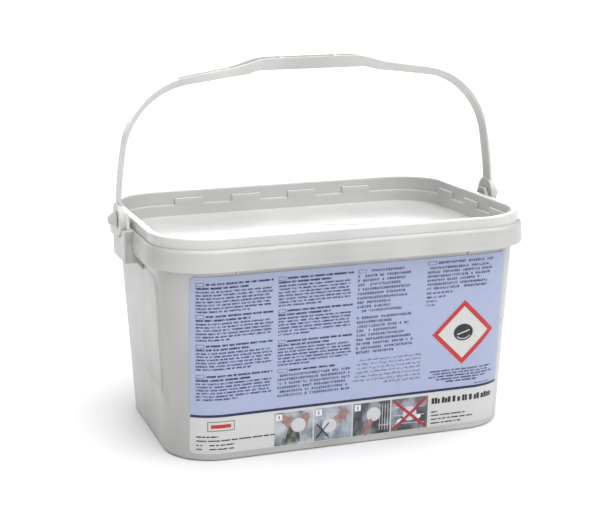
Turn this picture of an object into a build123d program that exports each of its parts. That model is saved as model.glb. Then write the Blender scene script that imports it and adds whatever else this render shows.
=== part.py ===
from build123d import *
import os
from math import atan2, degrees, hypot, sqrt

# Lengths are in millimetres. X runs along the pail, the label faces -Y and Z is up.
# The origin is the middle of the base, on the surface that the pail stands on.

# Outline of the closed pail
rim_length = 265.0
rim_width = 191.0
rim_corner = 39.9
lid_top = 156.2
length_taper = 8.4
width_taper = 16.35

# Pail body
wall = 1.5
floor_thickness = 1.8
foot_height = 2.2
foot_width = 4.5
base_edge_chamfer = 1.5

# Flat panel on each short side, which fades into the wall lower down
side_panel_width = 119.0
side_panel_drop = 8.4
side_panel_fade = 37.0
side_panel_proud = 1.0
side_panel_chamfer = 7.0

# Collar that hangs round the pail's rim
band_height = 21.9
wall_inset = 4.15
wall_step = 0.3
rim_wall_inset = 1.7
collar_wall = 1.5
collar_top_drop = 6.9
collar_out = 3.0
shoulder_height = 2.2
web_drop = 12.3
web_thickness = 1.5

# Ribs under the web of the collar
rib_thickness = 1.4
rib_from_middle = 82.0
rib_tail = 3.6
rib_lift = 0.9

# Lid
lid_wall = 1.3
lid_rim_width = 4.9
lid_rim_chamfer = 1.0
lid_skirt_height = 11.1
lid_fit = 0.3
ledge_drop = 10.7
ledge_width = 2.1
recess_depth = 19.6
lid_floor = 1.4
lid_panel_margin = 9.0
lid_panel_rise = 1.3
lid_panel_slope = 1.6
lug_length = 22.6
lug_pitch = 45.4
lug_height = 5.0
lugs_along = 4
lugs_across = 3

# Ears that carry the bail
pivot_drop = 1.2
ear_reach = 8.7
ear_width = 38.0
ear_wall = 2.2
ear_drop = 7.2
ear_edge = 1.6
ear_gusset_drop = 6.0
ear_roof = 3.0
side_gap = 0.3
lug_plate = 2.8
lug_base_width = 24.0
lug_top_width = 9.0
lug_rise = 4.5
pin_radius = 3.0
pin_fit = 0.08
head_radius = 6.2
head_tip_radius = 2.6
head_length = 5.4

# Bail handle
eye_radius = 12.0
eye_thickness = 4.2
bail_rise = 102.8
bail_width = 12.0
grip_width = 16.5
grip_length = 84.0
grip_blend = 22.0
channel_wall = 1.9
channel_floor = 2.6
channel_reach = 94.0
web_pitch = 40.0
web_width = 1.6
webs_each_side = 2

# Corners of the bail's outer and inner edge from the eye to the middle of the grip, as shares
# of the half span and of the rise, and the radius of each corner between the ends
outer_x_shares = (1.007, 1.003, 0.923, 0.432, 0.246, 0.0)
outer_z_shares = (0.0, 0.244, 0.877, 0.979, 1.041, 1.041)
outer_radii = (200.0, 56.0, 80.0, 60.0)
inner_x_shares = (0.993, 0.991, 0.927, 0.390, 0.221, 0.0)
inner_z_shares = (0.0, 0.193, 0.832, 0.927, 0.959, 0.959)
inner_radii = (150.0, 53.0, 80.0, 100.0)

# Label on the front wall
label_margin = 20.1
label_bottom = 5.5
label_height = 124.9
label_corner = 2.0
label_thickness = 0.3
print_thickness = 0.2
blue_height = 94.6
rule_height = 1.3

# Square symbol that stands on its corner in the blue field, with a tablet drawn in it
symbol_half = 23.6
symbol_frame = 4.4
symbol_from_right = 31.0
symbol_above_blue_bottom = 38.7
mark_width = 14.4
mark_height = 12.2
mark_corner = 4.0

# Row of pictures under the blue field, with a tablet drawn in each
picture_width = 27.3
picture_gap = 1.1
picture_from_left = 56.9
picture_from_bottom = 0.5
picture_below_blue = 5.9
disc_radius = 5.2
cross_width = 2.0
disc_x_shares = (0.12, -0.1, 0.05, 0.0)
disc_z_shares = (0.08, -0.06, 0.12, 0.0)

# Tablets in the pail
tablet_radius = 23.0
tablet_thickness = 24.0
tablet_sides = 8
tablet_gap = 0.8
tablets_along = 5
tablets_across = 3
tablet_count = 50

# Places that follow from the sizes above
half_length = rim_length / 2
half_width = rim_width / 2
base_length = rim_length - 2 * length_taper
base_width = rim_width - 2 * width_taper
band_bottom = lid_top - band_height
web_top = lid_top - web_drop
web_bottom = web_top - web_thickness
wall_corner = rim_corner - wall_inset
collar_in = lid_fit
collar_top = lid_top - collar_top_drop
rim_ceiling = lid_top - lid_wall
pail_top = rim_ceiling - lid_fit
pivot_height = lid_top - pivot_drop
inner_floor = foot_height + floor_thickness
lid_floor_top = lid_top - recess_depth
lid_floor_bottom = lid_floor_top - lid_floor
plug_face = -lid_rim_width
lower_plug_face = plug_face - ledge_width
ledge_top = lid_top - ledge_drop
ear_face = half_length + ear_reach
ear_low = band_bottom - ear_drop
eye_face = half_length + collar_out + ear_wall
eye_in = eye_face + side_gap
eye_out = eye_in + eye_thickness
half_span = (eye_in + eye_out) / 2
label_width = rim_length - 2 * label_margin
blue_bottom = label_bottom + label_height - blue_height
picture_height = blue_bottom - label_bottom - picture_from_bottom - picture_below_blue


def rim_outline(offset, z):
    """Rounded rectangle at height z, a given distance outside the lid's rim."""
    corner = rim_corner + offset
    return Pos(0, 0, z) * RectangleRounded(rim_length + 2 * offset, rim_width + 2 * offset, corner)


def wall_x(z):
    """Half length of the body at height z, outside its wall."""
    return base_length / 2 + (rim_length / 2 - wall_inset - base_length / 2) * z / band_bottom


def wall_y(z):
    """Half width of the body at height z, outside its wall."""
    return base_width / 2 + (rim_width / 2 - wall_inset - base_width / 2) * z / band_bottom


def tapered_body(offset, low, high):
    """Solid inside the tapered wall between two heights, a given distance outside its face."""
    seen_from = ((Plane.XZ, wall_x, rim_width), (Plane.YZ, wall_y, rim_length))
    across = []
    for plane, half, reach in seen_from:
        bottom = half(low) + offset
        top = half(high) + offset
        side = Polyline((-bottom, low), (bottom, low), (top, high), (-top, high), close=True)
        across.append(extrude(plane.offset(-reach) * make_face(side), 2 * reach))
    body = across[0] & across[1]
    return fillet(body.edges().filter_by(Plane.XY, reverse=True), wall_corner + offset)


def swept_rim(points):
    """Carry a closed section round the rim; a point is its offset from the rim and its height."""
    at_side = Plane(origin=(0, -half_width, 0), x_dir=(0, -1, 0), z_dir=(-1, 0, 0))
    section = make_face(at_side * Polyline(*points, close=True))
    return sweep(section, path=rim_outline(0, 0).faces()[0].outer_wire())


def both_ends(shape):
    """A shape at +X and its mirror image at -X."""
    return [shape, mirror(shape, Plane.YZ)]


def rim_and_collar():
    """Rim of the pail: the leaning wall, the web and the collar that hangs from it."""
    wall_out = -rim_wall_inset
    wall_in = wall_out - wall
    return swept_rim([
        (-wall_inset - wall - wall_step, band_bottom),
        (wall_in, web_bottom),
        (wall_in, pail_top),
        (wall_out, pail_top),
        (wall_out, web_top),
        (collar_in, web_top),
        (collar_in, collar_top),
        (collar_out, collar_top - shoulder_height),
        (collar_out, band_bottom),
        (collar_out - collar_wall, band_bottom),
        (collar_out - collar_wall, web_bottom),
        (wall_out, web_bottom),
        (wall_step - wall_inset, band_bottom),
    ])


def pail_shell():
    """Tapered body on a foot ring, hollowed from above."""
    outside = tapered_body(0, 0, band_bottom)
    outside = chamfer(outside.faces().sort_by(Axis.Z)[0].edges(), base_edge_chamfer)
    inside = tapered_body(-wall, inner_floor, band_bottom)
    inset = 2 * foot_width
    under = extrude(RectangleRounded(base_length - inset, base_width - inset, wall_corner - foot_width), foot_height)
    return outside - inside - under


def side_panel():
    """Flat panel on the short side at +X, proud at the top and flush where it fades out."""
    top = band_bottom - side_panel_drop
    wedge = Plane.XZ * make_face(Polyline(
        (wall_x(side_panel_fade) - wall / 2, side_panel_fade),
        (wall_x(side_panel_fade), side_panel_fade),
        (wall_x(top) + side_panel_proud, top),
        (wall_x(top) - wall / 2, top),
        close=True,
    ))
    side = side_panel_width / 2
    face = Plane.YZ * make_face(Polyline(
        (-side, side_panel_fade),
        (-side, top - side_panel_chamfer),
        (side_panel_chamfer - side, top),
        (side - side_panel_chamfer, top),
        (side, top - side_panel_chamfer),
        (side, side_panel_fade),
        close=True,
    ))
    return extrude(wedge, side, both=True) & extrude(face, rim_length)


def collar_ribs():
    """Ribs that tie the collar to the long walls; their tails show below its edge."""
    collar_inside = half_width + collar_out - collar_wall
    section = Plane.YZ * make_face(Polyline(
        (half_width - wall_inset - wall / 2, band_bottom - rib_tail),
        (half_width - wall_inset, band_bottom - rib_tail),
        (collar_inside, band_bottom + rib_lift),
        (collar_inside, web_bottom),
        (half_width - rim_wall_inset - wall / 2, web_bottom),
        (half_width - wall_inset - wall / 2, band_bottom),
        close=True,
    ))
    rib = Pos(rib_from_middle, 0, 0) * extrude(section, rib_thickness / 2, both=True)
    pair = both_ends(rib)
    return pair + [mirror(rib, Plane.XZ) for rib in pair]


def ear_block():
    """Hollow block on the collar at +X, open below, with a round seat for the bail's eye."""
    collar_inside = half_length + collar_out - collar_wall
    gusset_low = ear_low - ear_gusset_drop
    side_view = Plane.XZ * make_face(Polyline(
        (wall_x(gusset_low) - wall / 2, gusset_low),
        (wall_x(gusset_low), gusset_low),
        (half_length, ear_low),
        (ear_face, ear_low),
        (ear_face, collar_top),
        (collar_inside, collar_top),
        (collar_inside, web_bottom),
        (half_length - rim_wall_inset - wall / 2, web_bottom),
        (half_length - wall_inset - wall / 2, band_bottom),
        close=True,
    ))
    block = extrude(side_view, ear_width / 2, both=True)
    block = chamfer(block.faces().sort_by(Axis.X)[-1].edges().filter_by(Axis.Z), ear_edge)
    hollow_top = pivot_height - eye_radius - ear_roof
    hollow_reach = ear_face - ear_wall
    hollow = Pos(hollow_reach / 2, 0, hollow_top / 2) * Box(
        hollow_reach, ear_width - 2 * ear_wall, hollow_top)
    seat = Pos(eye_face, 0, pivot_height) * Rot(0, 90, 0) * Cylinder(
        eye_radius + side_gap * 2, eye_thickness + ear_reach,
        align=(Align.CENTER, Align.CENTER, Align.MIN))
    return block - hollow - seat


def ear_pin():
    """Lug over the ear at +X, and the pin whose cone head keeps the bail's eye on."""
    lug_in = eye_face - lug_plate
    low = collar_top - ear_roof
    half_base = lug_base_width / 2
    half_top = lug_top_width / 2
    side = [(half_base, low), (half_base, collar_top), (half_top, pivot_height + lug_rise)]
    other_side = [(-y, z) for y, z in reversed(side)]
    lug = extrude(Plane.YZ.offset(lug_in) * make_face(Polyline(*side, *other_side, close=True)), lug_plate)
    along = Pos(lug_in, 0, pivot_height) * Rot(0, 90, 0)
    start = (Align.CENTER, Align.CENTER, Align.MIN)
    lug += along * Cylinder(pin_radius, eye_out + side_gap * 2 - lug_in, align=start)
    head = Cone(head_radius, head_tip_radius, head_length, align=start)
    return lug + Pos(eye_out + side_gap, 0, pivot_height) * Rot(0, 90, 0) * head


def make_pail():
    """The pail is one moulding: body, rim, collar, ribs, ears and pins."""
    pieces = [pail_shell(), rim_and_collar()] + collar_ribs()
    pieces += both_ends(side_panel()) + both_ends(ear_block()) + both_ends(ear_pin())
    pail = pieces[0]
    for piece in pieces[1:]:
        pail += piece
    return pail - tapered_body(-wall, inner_floor, band_bottom)


def lid_ring():
    """Rim of the lid: skirt, top, and the wall that plugs the pail, to the floor's edge."""
    skirt_bottom = lid_top - lid_skirt_height
    return swept_rim([
        (0, skirt_bottom),
        (0, lid_top - lid_rim_chamfer),
        (-lid_rim_chamfer, lid_top),
        (plug_face + lid_rim_chamfer, lid_top),
        (plug_face, lid_top - lid_rim_chamfer),
        (plug_face, ledge_top),
        (lower_plug_face, ledge_top),
        (lower_plug_face, lid_floor_bottom),
        (lower_plug_face + lid_wall / 2, lid_floor_bottom),
        (plug_face + lid_wall, ledge_top - lid_wall),
        (plug_face + lid_wall, rim_ceiling),
        (-lid_wall, rim_ceiling),
        (-lid_wall, skirt_bottom),
    ])


def lid_panel():
    """Raised middle of the lid's floor."""
    margin = lower_plug_face - lid_panel_margin
    return loft([rim_outline(margin, lid_floor_top),
                 rim_outline(margin - lid_panel_slope, lid_floor_top + lid_panel_rise)], ruled=True)


def lid_lugs():
    """Blocks that stand in a row on the ledge inside the lid."""
    depth = ledge_width + lid_wall / 2
    lugs = []
    for sides, count, reach in ((0, lugs_along, half_width), (1, lugs_across, half_length)):
        lug = Box(lug_length, depth, lug_height, align=(Align.CENTER, Align.MIN, Align.MIN))
        lug = Pos(0, reach + plug_face - ledge_width, ledge_top) * lug
        for k in range(count):
            place = (k - (count - 1) / 2) * lug_pitch
            for turn in (0, 180):
                lugs.append(Rot(0, 0, turn + 90 * sides) * Pos(place, 0, 0) * lug)
    return lugs


def make_lid():
    """The lid is one moulding: rim, plug wall, castellated ledge and stepped floor."""
    lid = lid_ring()
    plate = extrude(rim_outline(lower_plug_face, lid_floor_bottom), lid_floor)
    for piece in [plate, lid_panel()] + lid_lugs():
        lid += piece
    return lid


def bail_edge(x_shares, z_shares, radii):
    """One edge of half the bail seen from the front: straight runs joined by arcs."""
    corners = [(half_span * x, pivot_height + bail_rise * z) for x, z in zip(x_shares, z_shares)]
    return FilletPolyline(*corners, radius=radii)


def bail_plan(inset):
    """Half of the bail seen from above, widest at the grip, with its sides moved in."""
    narrow = bail_width / 2 - inset
    wide = grip_width / 2 - inset
    start = grip_length / 2
    end = start + grip_blend
    reach = half_span + eye_thickness
    side = [(0, wide), (start, wide), (end, narrow), (reach, narrow)]
    other_side = [(x, -y) for x, y in reversed(side)]
    return make_face(Polyline(*side, *other_side, close=True))


def bail_channel(inner):
    """Channel along the top of half the bail, open upwards, with webs left across it."""
    top = pivot_height + 2 * bail_rise
    under = Pos(0, channel_floor) * inner
    sides = [Line(under @ 1, (0, top)), Line((0, top), (half_span, top)), Line((half_span, top), under @ 0)]
    cut = extrude(Plane.XZ.offset(-grip_width) * make_face(under.edges() + sides), 2 * grip_width)
    cut &= extrude(bail_plan(channel_wall), top)
    cut &= Box(2 * channel_reach, grip_width, 2 * top)
    for k in range(webs_each_side):
        cut -= Pos(web_pitch * (k + 1 / 2), 0, top / 2) * Box(web_width, grip_width, top)
    return cut


def make_bail():
    """The bail is one moulding: strap legs, channelled arms, the grip and an eye at each end."""
    outer = bail_edge(outer_x_shares, outer_z_shares, outer_radii)
    inner = bail_edge(inner_x_shares, inner_z_shares, inner_radii)
    ends = [Line(outer @ 0, inner @ 0), Line(outer @ 1, inner @ 1)]
    side_view = make_face(outer.edges() + inner.edges() + ends)
    strap = extrude(Plane.XZ.offset(-grip_width) * side_view, 2 * grip_width)
    strap &= extrude(bail_plan(0), pivot_height + 2 * bail_rise)
    strap -= bail_channel(inner)
    along = Pos(eye_in, 0, pivot_height) * Rot(0, 90, 0)
    start = (Align.CENTER, Align.CENTER, Align.MIN)
    eye = along * Cylinder(eye_radius, eye_thickness, align=start)
    half = strap + eye - along * Cylinder(pin_radius + pin_fit, eye_thickness, align=start)
    return half + mirror(half, Plane.YZ)


def on_front(shape, thickness, proud):
    """Lay a flat shape, drawn in X and Z, on the front wall as a sheet of its own."""
    sheet = tapered_body(proud + thickness, 0, band_bottom) - tapered_body(proud, 0, band_bottom)
    return sheet & extrude(Plane.XZ * shape, rim_width)


def label_box(width, height, x, z):
    """Rectangle in X and Z whose lowest left corner is at x, z."""
    return Pos(x + width / 2, z + height / 2) * Rectangle(width, height)


def square_on_corner(half):
    """Square that stands on one corner, by half its diagonal."""
    return Rot(0, 0, 45) * Rectangle(half * sqrt(2), half * sqrt(2))


def cut_corners(width, height, corner):
    """Rectangle with its corners cut off."""
    return chamfer(Rectangle(width, height).vertices(), corner)


def label_sheets():
    """Label and its print: the white sheet, the blue field, the rule and the symbol."""
    symbol_at = Pos(label_width / 2 - symbol_from_right, blue_bottom + symbol_above_blue_bottom)
    sheet = Pos(0, label_bottom + label_height / 2) * cut_corners(label_width, label_height, label_corner)
    blue = Pos(0, blue_bottom + blue_height / 2) * cut_corners(label_width, blue_height, label_corner)
    blue -= label_box(label_width, label_corner + rule_height, -label_width / 2, blue_bottom)
    blue += label_box(label_width, label_corner, -label_width / 2, blue_bottom + rule_height)
    flat = {
        "label_blue_field": blue - symbol_at * square_on_corner(symbol_half),
        "label_rule": label_box(label_width, rule_height, -label_width / 2, blue_bottom),
        "symbol_frame": symbol_at * (square_on_corner(symbol_half) - square_on_corner(symbol_half - symbol_frame)),
        "symbol_tablet": symbol_at * cut_corners(mark_width, mark_height, mark_corner),
    }
    nodes = {name: on_front(shape, print_thickness, label_thickness) for name, shape in flat.items()}
    nodes["label_sheet"] = on_front(sheet, label_thickness, 0)
    return nodes


def label_pictures():
    """Row of small pictures, each a plain field with a tablet, and a cross over the last."""
    proud = label_thickness + print_thickness
    start = picture_from_left - label_width / 2
    low = label_bottom + picture_from_bottom
    nodes, discs = {}, []
    for k, (share_x, share_z) in enumerate(zip(disc_x_shares, disc_z_shares)):
        nodes[f"picture_{k + 1}"] = on_front(
            label_box(picture_width, picture_height, start, low), print_thickness, label_thickness)
        middle = Pos(start + picture_width / 2, low + picture_height / 2)
        discs.append(middle * Pos(picture_width * share_x, picture_height * share_z) * RegularPolygon(disc_radius, tablet_sides))
        start += picture_width + picture_gap
    nodes["picture_tablets"] = on_front(Sketch() + discs, print_thickness, proud)
    slope = degrees(atan2(picture_height, picture_width))
    arm = Rectangle(hypot(picture_width, picture_height) - 2 * cross_width, cross_width)
    cross = middle * (Rot(0, 0, slope) * arm + Rot(0, 0, -slope) * arm)
    nodes["picture_cross"] = on_front(cross, print_thickness, proud + print_thickness)
    return nodes


def tablet_layer(count, level):
    """One layer of tablets, set in a grid on the floor or on the layer below."""
    pitch = 2 * tablet_radius + tablet_gap
    z = inner_floor + tablet_gap / 2 + level * (tablet_thickness + tablet_gap / 2)
    places = [(i, j) for j in range(tablets_across) for i in range(tablets_along)][:count]
    tablet = extrude(RegularPolygon(tablet_radius, tablet_sides), tablet_thickness)
    return Compound(children=[
        Pos((i - (tablets_along - 1) / 2) * pitch, (j - (tablets_across - 1) / 2) * pitch, z) * tablet
        for i, j in places])


def tablet_layers():
    """All the tablets, layer by layer."""
    per_layer = tablets_along * tablets_across
    nodes, left, level = {}, tablet_count, 0
    while left > 0:
        nodes[f"tablet_layer_{level + 1}"] = tablet_layer(min(left, per_layer), level)
        left -= per_layer
        level += 1
    return nodes


def main():
    """Write every sub-part to its own file."""
    os.makedirs("parts", exist_ok=True)
    nodes = {"pail": make_pail(), "lid": make_lid(), "bail_handle": make_bail()}
    nodes.update(label_sheets())
    nodes.update(label_pictures())
    nodes.update(tablet_layers())
    for name, shape in nodes.items():
        export_step(shape, f"parts/{name}.step")


main()
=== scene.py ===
import math
import random

import bmesh
import bpy
from mathutils import Matrix, Vector


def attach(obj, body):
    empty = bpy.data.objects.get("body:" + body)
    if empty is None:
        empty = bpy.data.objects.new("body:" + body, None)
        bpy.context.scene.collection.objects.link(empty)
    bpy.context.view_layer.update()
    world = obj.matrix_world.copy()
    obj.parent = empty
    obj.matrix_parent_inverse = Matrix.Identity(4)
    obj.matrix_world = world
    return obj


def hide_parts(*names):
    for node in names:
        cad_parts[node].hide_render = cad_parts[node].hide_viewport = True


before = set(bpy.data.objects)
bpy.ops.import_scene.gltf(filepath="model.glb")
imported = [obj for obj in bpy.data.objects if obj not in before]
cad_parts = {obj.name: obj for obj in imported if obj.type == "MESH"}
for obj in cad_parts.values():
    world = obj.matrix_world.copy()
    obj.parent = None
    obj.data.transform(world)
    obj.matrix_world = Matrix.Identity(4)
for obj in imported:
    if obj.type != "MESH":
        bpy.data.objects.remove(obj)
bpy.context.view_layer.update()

# Lengths are in millimetres, but for the camera's and the studio's; MM turns them into metres.
MM = 0.001

# Outline of the pail and the lid
RIM_LENGTH = 265.0
RIM_WIDTH = 191.0
RIM_CORNER = 39.9
BASE_LENGTH = 248.2
BASE_WIDTH = 158.3
BAND_BOTTOM = 134.3
WALL_INSET = 4.15

# Points of the outline round a corner and along the straight sides
CORNER_STEPS = 18
LONG_STEPS = 16
SHORT_STEPS = 12

# Steps of rounded corners, which take less than half an edge, and of caps, turned solids and arcs
ROUND_STEPS = 4
EDGE_SHARE = 0.48
CAP_ROWS = 6
TURN_STEPS = 48
ARC_STEPS = 12

# Angles in degrees from which an edge is sharp
SOLID_SHARP = 50
PRINT_SHARP = 30

# Bevels of the small blocks, on edges that turn by more than an angle in radians
BEVEL_ANGLE = 0.5
RIB_BEVEL = 0.2
EAR_BEVEL = 0.9
ROOT_BEVEL = 0.4
CHEEK_BEVEL = 0.3
LUG_BEVEL = 0.45
BLOCK_BEVEL = 0.4
LENS_BEVEL = 0.2
WEB_BEVEL = 0.25

# Sections as (distance outside the wall's line, height, radius of the corner)
PAIL_SECTION = [
    (-4.5, 2.2, 0), (-4.5, 0, 0.3), (-1.5, 0, 0.8), (0, 1.5, 1.2), (0, 134.0, 0), (0.3, 134.3, 0),
    (2.45, 142.4, 0.4), (5.65, 142.4, 0.4), (5.65, 134.3, 0.4), (7.15, 134.3, 0.5), (7.15, 139.6, 5),
    (6.7, 143.6, 5), (6.5, 147.3, 3), (4.45, 149.3, 0.3), (4.45, 143.9, 0.3), (2.45, 143.9, 0.3),
    (2.45, 154.6, 0.4), (0.95, 154.6, 0.4), (0.95, 142.4, 1), (-1.5, 134.3, 1), (-1.5, 4.0, 3), (-5, 4.0, 0),
]
LID_SECTION = [
    (-14.5, 137.9, 0), (-13.45, 137.9, 0.8), (-11.85, 136.6, 0.8), (-2.85, 136.6, 1.2), (-2.85, 145.5, 0.3),
    (-0.75, 145.5, 0.4), (-0.75, 156.2, 1.3), (4.15, 156.2, 1.3), (4.15, 145.1, 0.3), (2.85, 145.1, 0.3),
    (2.85, 154.9, 0.6), (0.55, 154.9, 0.6), (0.55, 144.2, 1), (-2.2, 135.2, 0.5), (-4, 135.2, 0),
]

# Panel on each short side: its foot and its face as (y, height), how deep the foot lies in the wall,
# where the face is flush with the wall, and how far it stands out at the top
PANEL_FOOT = [(-59.5, 30), (59.5, 30), (59.5, 118.9), (52.5, 125.9), (-52.5, 125.9), (-59.5, 118.9)]
PANEL_FACE = [(-51, 46), (51, 46), (54.5, 116.4), (50, 122.4), (-50, 122.4), (-54.5, 116.4)]
PANEL_DEPTHS = (0.9, 0.1)
PANEL_FLUSH = 37.0
PANEL_TOP = 125.9
PANEL_RISE = 1.0

# Ribs under the collar, with the section as (y, height)
RIB_SECTION = [(90.6, 130.7), (91.35, 130.7), (97, 135.2), (97, 142.4), (93.05, 142.4), (90.6, 134.3)]
RIB_PLACES = (-82.0, 82.0)
RIB_HALF = 0.7

# Ears and pins, with distances from the pail's middle along x
PIVOT_Z = 155.0
EAR_TOP = 149.3
EAR_LOW = 127.1
EAR_HALF = 19.0
EAR_FRONT = (139.0, 141.2)
EAR_FILL = (137.7, 139.6)
EAR_ROOT = (134.0, 137.7)
EAR_ROOT_LOW = 140.0
EAR_INSET = 0.1
EAR_CHEEK = [(127.2, 121.1), (127.93, 121.1), (132.5, 127.1), (140.1, 127.2), (140.1, EAR_TOP - 0.1),
             (134, EAR_TOP - 0.1), (134, 142.4), (130.05, 142.4), (127.6, 134.3)]
CHEEK_WIDTH = 2.15
EAR_GAP = 0.05
SEAT_RADIUS = 12.6
SEAT_STEPS = 16
LUG_FACE = [(-12, 146.3), (12, 146.3), (12, EAR_TOP), (4.5, 159.5), (-4.5, 159.5), (-12, EAR_TOP)]
LUG_REACH = (134.9, 137.7)
PIN_RADIUS = 3.0
PIN_REACH = (137.0, 142.8)
PIN_HEAD = [(0.5, 142.5, 0), (6.2, 142.5, 0.4), (2.6, 147.9, 0.8), (0.5, 147.9, 0)]

# Blocks on the ledge inside the lid, and the lens-shaped mark on its floor
BLOCK_LOW = 145.3
BLOCK_HIGH = 150.5
BLOCK_HALF = 11.3
BLOCK_PITCH = 45.4
LONG_BLOCKS = (88.5, 91.2)
SHORT_BLOCKS = (125.5, 128.2)
LENS_AT = (34, 8.5)
LENS_HALF = (19, 7)
LENS_HEIGHTS = (137.4, 138.2)
LENS_STEPS = 32

# Edges of half the bail, as shares of the half span and the rise, with the corners' radii
HALF_SPAN = 140.1
BAIL_RISE = 102.8
OUTER_EDGE = [(1.007, 0), (1.003, 0.244), (0.923, 0.877), (0.405, 0.984), (0.255, 1.041), (0, 1.041)]
OUTER_RADII = (200, 56, 40, 40)
INNER_EDGE = [(0.993, 0), (0.991, 0.193), (0.927, 0.832), (0.340, 0.936), (0.290, 0.959), (0, 0.959)]
INNER_RADII = (150, 53, 10, 10)
BAIL_STEPS = 96
STRAP_HALF_WIDTH = 6.0
GRIP_EXTRA = 2.25
GRIP_END = 64.0
GRIP_FADE = 22.0
CHANNEL_REACH = 94.0
CHANNEL_WALL = 1.9
CHANNEL_FLOOR = 2.6
BAIL_WEBS = (20.0, 60.0)
WEB_HALF = 0.8
WEB_ROOT = 0.3
WEB_DROP = 0.35
EYE_RADIUS = 12.0
EYE_PLAY = 0.08
EYE_REACH = (138.0, 142.2)
STRAP_START = PIVOT_Z + 4.5

# Radii of the bail's edges
TOP_ROUND = 0.5
UNDER_ROUND = 0.7
LIP_ROUND = 0.35
FLOOR_ROUND = 0.6
EYE_ROUND = 0.6
BORE_ROUND = 0.2

# Label on the front wall: distances of its faces outside the wall, and how thick the print is
WHITE_FACE = 0.3
BLUE_FACE = 0.5
PICTURE_FACE = 0.5
INK = 0.07
INK_STEP = 0.01
THIN_INK = 0.05
THICK_INK = 0.2
TOP_INK = 0.30
INK_ROOT = 0.03
FLAT_REACH = 86
BEND_STEP = 3
PICTURE_LEFT = -55.5
PICTURE_LOW = 6.0
PICTURE_WIDTH = 27.3
PICTURE_HEIGHT = 23.9
PICTURE_PITCH = 28.4
DISC_RADIUS = 5.2
DISC_STEPS = 40
SYMBOL_AT = (81.4, 74.5)
MARK_RADII = (7.2, 6.1)
MARK_STEPS = 48
MARK_LINE_RISE = 0.04
SCORE_HALF = (4.6, 1.4)
SCORE_WIDTH = 0.8
SHINE_RADII = (5.7, 4.7)
SHINE_WIDTH = 0.6
SHINE_START = 1.2
SHINE_STEP = 0.07
SHINE_STEPS = 9
DISC_SHARES = [(0.12, 0.08), (-0.1, -0.06), (0.05, 0.12), (0, 0)]

# What the pictures show, as places and sizes from a picture's lowest left corner
POUCH = [(7.5, 2), (18.5, 1.6), (16.6, 15.5), (10.2, 16.2)]
POUCH_EDGE = ((10, 15.4), (16.8, 14.7))
POUCH_EDGE_WIDTH = 0.7
POUCH_EDGE_INK = 0.075
POUCH_HANDS = ((7.4, 18.6, -0.75, 7.2), (21.4, 18.4, -2.3, 7.6))
SECOND_HAND = (21.0, 18.2, -2.3, 7.6)
BASKET_WIRES = 7
BASKET_PITCH = 1.3
BASKET_WIRE = ((2.2, 3.2), (5.2, 12.6))
WIRE_WIDTH = 0.25
CROSS_STROKES = (((1.6, 2.2), (10.6, 12.8)), ((1.6, 12.8), (10.6, 2.2)))
CROSS_WIDTH = 0.9
RACK_BARS = 4
RACK_PITCH = 2
RACK_BAR = ((19.6, 2.2), (19.6, 21.6))
RACK_RAIL = ((18.6, 6), (26.2, 6))
RACK_BAR_WIDTH = 0.3
RAIL_WIDTH = 0.35
FINGER_AT = (11.2, 5.6)
FINGER_RADII = (6.6, 1.9)
FINGER_TURN = 1.25
SHELF_BARS = 3
SHELF_PITCH = 6
SHELF_BAR = ((2.5, 5.5), (24.8, 4.5))
SHELF_DISCS = ((6.6, 7.2), (19.8, 8.8))
SHELF_DISC_RADII = (2.6, 1.6)
SHELF_DISC_TURN = 0.4
SHELF_DISC_INK = 0.08
NUMBER_BOX = (0.8, 18.6, 5.3, 23.1)
NUMBER_BAR = (2.7, 19.6, 3.4, 22.1)
NUMBER_INK = 0.26

# A hand, as shares of its size, with angles in radians and the thickness of its print
PALM_RADII = (0.55, 0.42)
FINGER_SHARES = (0.62, 0.75, 0.72, 0.55)
FINGER_SPREAD = 0.16
FINGER_ROOT = 0.35
FINGER_PITCH = 0.2
FINGER_OVERLAP = 0.06
FINGER_HALF = 0.095
THUMB_AT = 0.5
THUMB_RADII = (0.32, 0.11)
THUMB_TURN = 1.1
THUMB_LEAN = 0.3
PALM_INK = 0.09
FINGER_INK = 0.10
THUMB_INK = 0.11

# Words and how the lines that they fill vary
TEXT_SEED = 31
WORD_SIZE = 5.0
WORD_GAP = 0.9
WORD_SHARES = (0.35, 1.7)
LEAST_REST = 0.8
LAST_LINE = (0.35, 0.8)
LINE_LOSS = 0.05

# Square characters, as shares of their lines' pitch, and how many places stay blank
GLYPH_BLANK = 0.1
GLYPH_HALVES = (0.26, 0.31)
GLYPH_WIDTHS = (0.38, 0.48)
GLYPH_STEP = 0.56

# Joined-up strokes: the run along the line and the stems on it
RUN_LENGTHS = (1.4, 5)
RUN_GAP = 0.8
RUN_BELOW = 0.25
RUN_ABOVE = 0.2
LAST_RUN = 0.4
STEM_PITCH = 1.1
STEM_START = 0.5
STEM_WIDTH = 0.4
STEM_TOPS = (0.6, 0.9, 1.3, -0.9)

# Tagged paragraphs: the outlined tag, two bold lines beside and under it, and small lines
TAG_LINE = 0.35
TAG_SIZE = (5.2, 2.6)
FIRST_LINE = (6.2, 1.2)
SECOND_LINE = (0.7, 3.9)
SMALL_TEXT_DROP = 5.3
BOLD_HEIGHT = 1.35
BOLD_WORD = 6
SMALL_PITCH = 2.25
SMALL_HEIGHT = 1.2
ROW_PITCH = 2.9
WIDE_ROW_PITCH = 3.1
LEFT_COLUMN = (-109.0, -57.5)
LEFT_PARAGRAPHS = ((126.5, 106.5), (104.5, 86), (84, 64.5), (62.5, 43.7))
MIDDLE_COLUMN = (-54, -1.5)
MIDDLE_PARAGRAPHS = ((126.6, 106), (104, 84.5), (82.5, 63.5))
TAG_BOXES = ((-54, 59.2, -47, 61.8), (1.7, 124, 7.5, 126.6), (52.3, 125.4, 58.5, 128))
MIDDLE_HEADING = (-46, -12, 60.5)

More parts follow.
